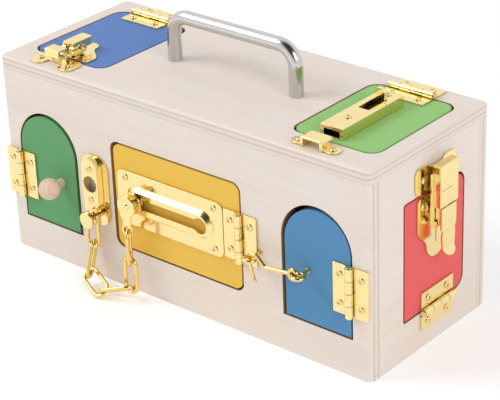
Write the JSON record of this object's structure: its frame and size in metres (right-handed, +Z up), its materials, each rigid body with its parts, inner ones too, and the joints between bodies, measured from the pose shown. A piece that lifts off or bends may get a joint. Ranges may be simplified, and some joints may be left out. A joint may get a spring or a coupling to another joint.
{
  "type": "lock box",
  "caption": "Wooden toy case with hinged doors on the front, end and top, each shut by its own brass lock, and a steel carrying handle.",
  "frame": {"origin": "middle of the underside of the case", "axes": "+X along the front to the end with the red door, +Y to the back, +Z up"},
  "size_m": [0.3032, 0.141, 0.1685],
  "materials": {
    "case_wood": "whitewashed plywood, satin",
    "raw_wood": "bare turned wood",
    "steel": "satin",
    "brass": "polished",
    "green_paint": "satin paint on wood",
    "blue_paint": "satin paint on wood",
    "yellow_paint": "satin paint on wood",
    "royal_paint": "satin paint on wood",
    "lime_paint": "satin paint on wood",
    "red_paint": "satin paint on wood"
  },
  "bodies": {
    "case": {"front_panel": "case_wood", "back_panel": "case_wood", "left_side": "case_wood", "right_side": "case_wood", "top_board": "case_wood", "bottom_board": "case_wood", "door_stops": "raw_wood", "magnet": "steel", "carry_handle": "steel", "handle_screws": "steel", "frame_hinge_leaves": "brass", "hinge_pins": "brass", "frame_screws": "brass", "case_eye": "brass", "chain_anchor": "brass", "chain_stud": "brass", "royal_latch_strike": "brass", "bolt_keeper": "brass", "red_latch_strike": "brass"},
    "green_door": {"green_door": "green_paint", "green_hinge_leaf": "brass", "green_screws": "brass", "green_knob": "raw_wood", "strike_disc": "steel"},
    "blue_door": {"blue_door": "blue_paint", "blue_hinge_leaf": "brass", "blue_screws": "brass", "door_eye": "brass"},
    "hook": {"hook": "brass"},
    "yellow_door": {"yellow_door": "yellow_paint", "yellow_hinge_leaf": "brass", "yellow_screws": "brass", "slide_track": "brass"},
    "chain_slider": {"chain_slider": "brass"},
    "chain_link_1": {"chain_link_1": "brass"},
    "chain_link_2": {"chain_link_2": "brass"},
    "chain_link_3": {"chain_link_3": "brass"},
    "chain_link_4": {"chain_link_4": "brass"},
    "chain_link_5": {"chain_link_5": "brass"},
    "chain_link_6": {"chain_link_6": "brass"},
    "royal_door": {"royal_door": "royal_paint", "royal_hinge_leaf": "brass", "royal_screws": "brass", "royal_latch_base": "brass", "royal_latch_pin": "steel"},
    "royal_lever": {"royal_latch_lever": "brass"},
    "royal_claw": {"royal_latch_claw": "brass"},
    "lime_door": {"lime_door": "lime_paint", "lime_hinge_leaf": "brass", "lime_screws": "brass", "bolt_housing": "brass"},
    "bolt": {"bolt": "brass"},
    "red_door": {"red_door": "red_paint", "red_hinge_leaf": "brass", "red_screws": "brass", "red_latch_base": "brass", "red_latch_pin": "steel"},
    "red_lever": {"red_latch_lever": "brass"},
    "red_claw": {"red_latch_claw": "brass"}
  },
  "joints": [
    {"name": "green_door_hinge", "type": "hinge", "parent": "case", "child": "green_door", "pos_m": [-0.13205, -0.06105, 0.0555], "axis": [0, 0, -1], "range_deg": [0, 105]},
    {"name": "blue_door_hinge", "type": "hinge", "parent": "case", "child": "blue_door", "pos_m": [0.13205, -0.06105, 0.0565], "axis": [0, 0, 1], "range_deg": [0, 105]},
    {"name": "hook_swing", "type": "hinge", "parent": "blue_door", "child": "hook", "pos_m": [0.0977, -0.068, 0.06], "axis": [0, 1, 0], "range_deg": [0, 100]},
    {"name": "yellow_door_hinge", "type": "hinge", "parent": "case", "child": "yellow_door", "pos_m": [0.05135, -0.06105, 0.0655], "axis": [0, 0, 1], "range_deg": [0, 10]},
    {"name": "chain_slide", "type": "slide", "parent": "yellow_door", "child": "chain_slider", "axis": [1, 0, 0], "range_m": [0, 0.053]},
    {"name": "royal_door_hinge", "type": "hinge", "parent": "case", "child": "royal_door", "pos_m": [-0.1065, 0.04195, 0.13655], "axis": [-1, 0, 0], "range_deg": [0, 105]},
    {"name": "royal_lever_swing", "type": "hinge", "parent": "royal_door", "child": "royal_lever", "pos_m": [-0.105, -0.0343, 0.1388], "axis": [1, 0, 0], "range_deg": [0, 95]},
    {"name": "royal_claw_swing", "type": "hinge", "parent": "royal_lever", "child": "royal_claw", "pos_m": [-0.105, -0.0283, 0.1388], "axis": [1, 0, 0], "range_deg": [-80.75, 0]},
    {"name": "lime_door_hinge", "type": "hinge", "parent": "case", "child": "lime_door", "pos_m": [0.1015, 0.04195, 0.13655], "axis": [-1, 0, 0], "range_deg": [0, 105]},
    {"name": "bolt_slide", "type": "slide", "parent": "lime_door", "child": "bolt", "axis": [0, -1, 0], "range_m": [0, 0.015]},
    {"name": "red_door_hinge", "type": "hinge", "parent": "case", "child": "red_door", "pos_m": [0.14755, 0.0055, 0.02465], "axis": [0, 1, 0], "range_deg": [0, 90]},
    {"name": "red_lever_swing", "type": "hinge", "parent": "red_door", "child": "red_lever", "pos_m": [0.15, 0.0032, 0.0903], "axis": [0, -1, 0], "range_deg": [0, 100]},
    {"name": "red_claw_swing", "type": "hinge", "parent": "red_lever", "child": "red_claw", "pos_m": [0.15, 0.0032, 0.0823], "axis": [0, -1, 0], "range_deg": [-85, 0]},
    {"name": "chain_link_1_swing", "type": "hinge", "parent": "case", "child": "chain_link_1", "pos_m": [-0.066, -0.065, 0.045], "axis": [0, -1, 0], "range_deg": [0, 39.41]},
    {"name": "chain_link_2_swing", "type": "hinge", "parent": "chain_link_1", "child": "chain_link_2", "pos_m": [-0.06351, -0.06805, 0.03276], "axis": [-0.3905, -0.2567, -0.8841], "range_deg": [0, 13.56]},
    {"name": "chain_link_3_swing", "type": "hinge", "parent": "chain_link_2", "child": "chain_link_3", "pos_m": [-0.06609, -0.07551, 0.00581], "axis": [-0.2397, 0.9256, 0.2928], "range_deg": [0, 16.54]},
    {"name": "chain_link_6_swing", "type": "hinge", "parent": "chain_slider", "child": "chain_link_6", "pos_m": [-0.0307, -0.0695, 0.0492], "axis": [0, 1, 0], "range_deg": [0, 42.69]},
    {"name": "chain_link_5_swing", "type": "hinge", "parent": "chain_link_6", "child": "chain_link_5", "pos_m": [-0.03179, -0.07058, 0.02957], "axis": [0.6991, 0.4188, -0.5795], "range_deg": [0, 23.58]},
    {"name": "chain_link_4_swing", "type": "hinge", "parent": "chain_link_5", "child": "chain_link_4", "pos_m": [-0.02964, -0.06871, 0.00619], "axis": [0.073, -0.9967, 0.0359], "range_deg": [0, 21.61]}
  ],
  "couplings": [
    {"joint": "royal_claw_swing", "follows": "royal_lever_swing", "ratio": -0.85},
    {"joint": "red_claw_swing", "follows": "red_lever_swing", "ratio": -0.85},
    {"joint": "chain_link_1_swing", "follows": "chain_slide", "rad_per_m": 12.724},
    {"joint": "chain_link_2_swing", "follows": "yellow_door_hinge", "ratio": 1.3291},
    {"joint": "chain_link_3_swing", "follows": "chain_slide", "rad_per_m": 5.3404},
    {"joint": "chain_link_6_swing", "follows": "chain_slide", "rad_per_m": 13.782},
    {"joint": "chain_link_5_swing", "follows": "yellow_door_hinge", "ratio": 2.312},
    {"joint": "chain_link_4_swing", "follows": "chain_slide", "rad_per_m": 6.978}
  ]
}
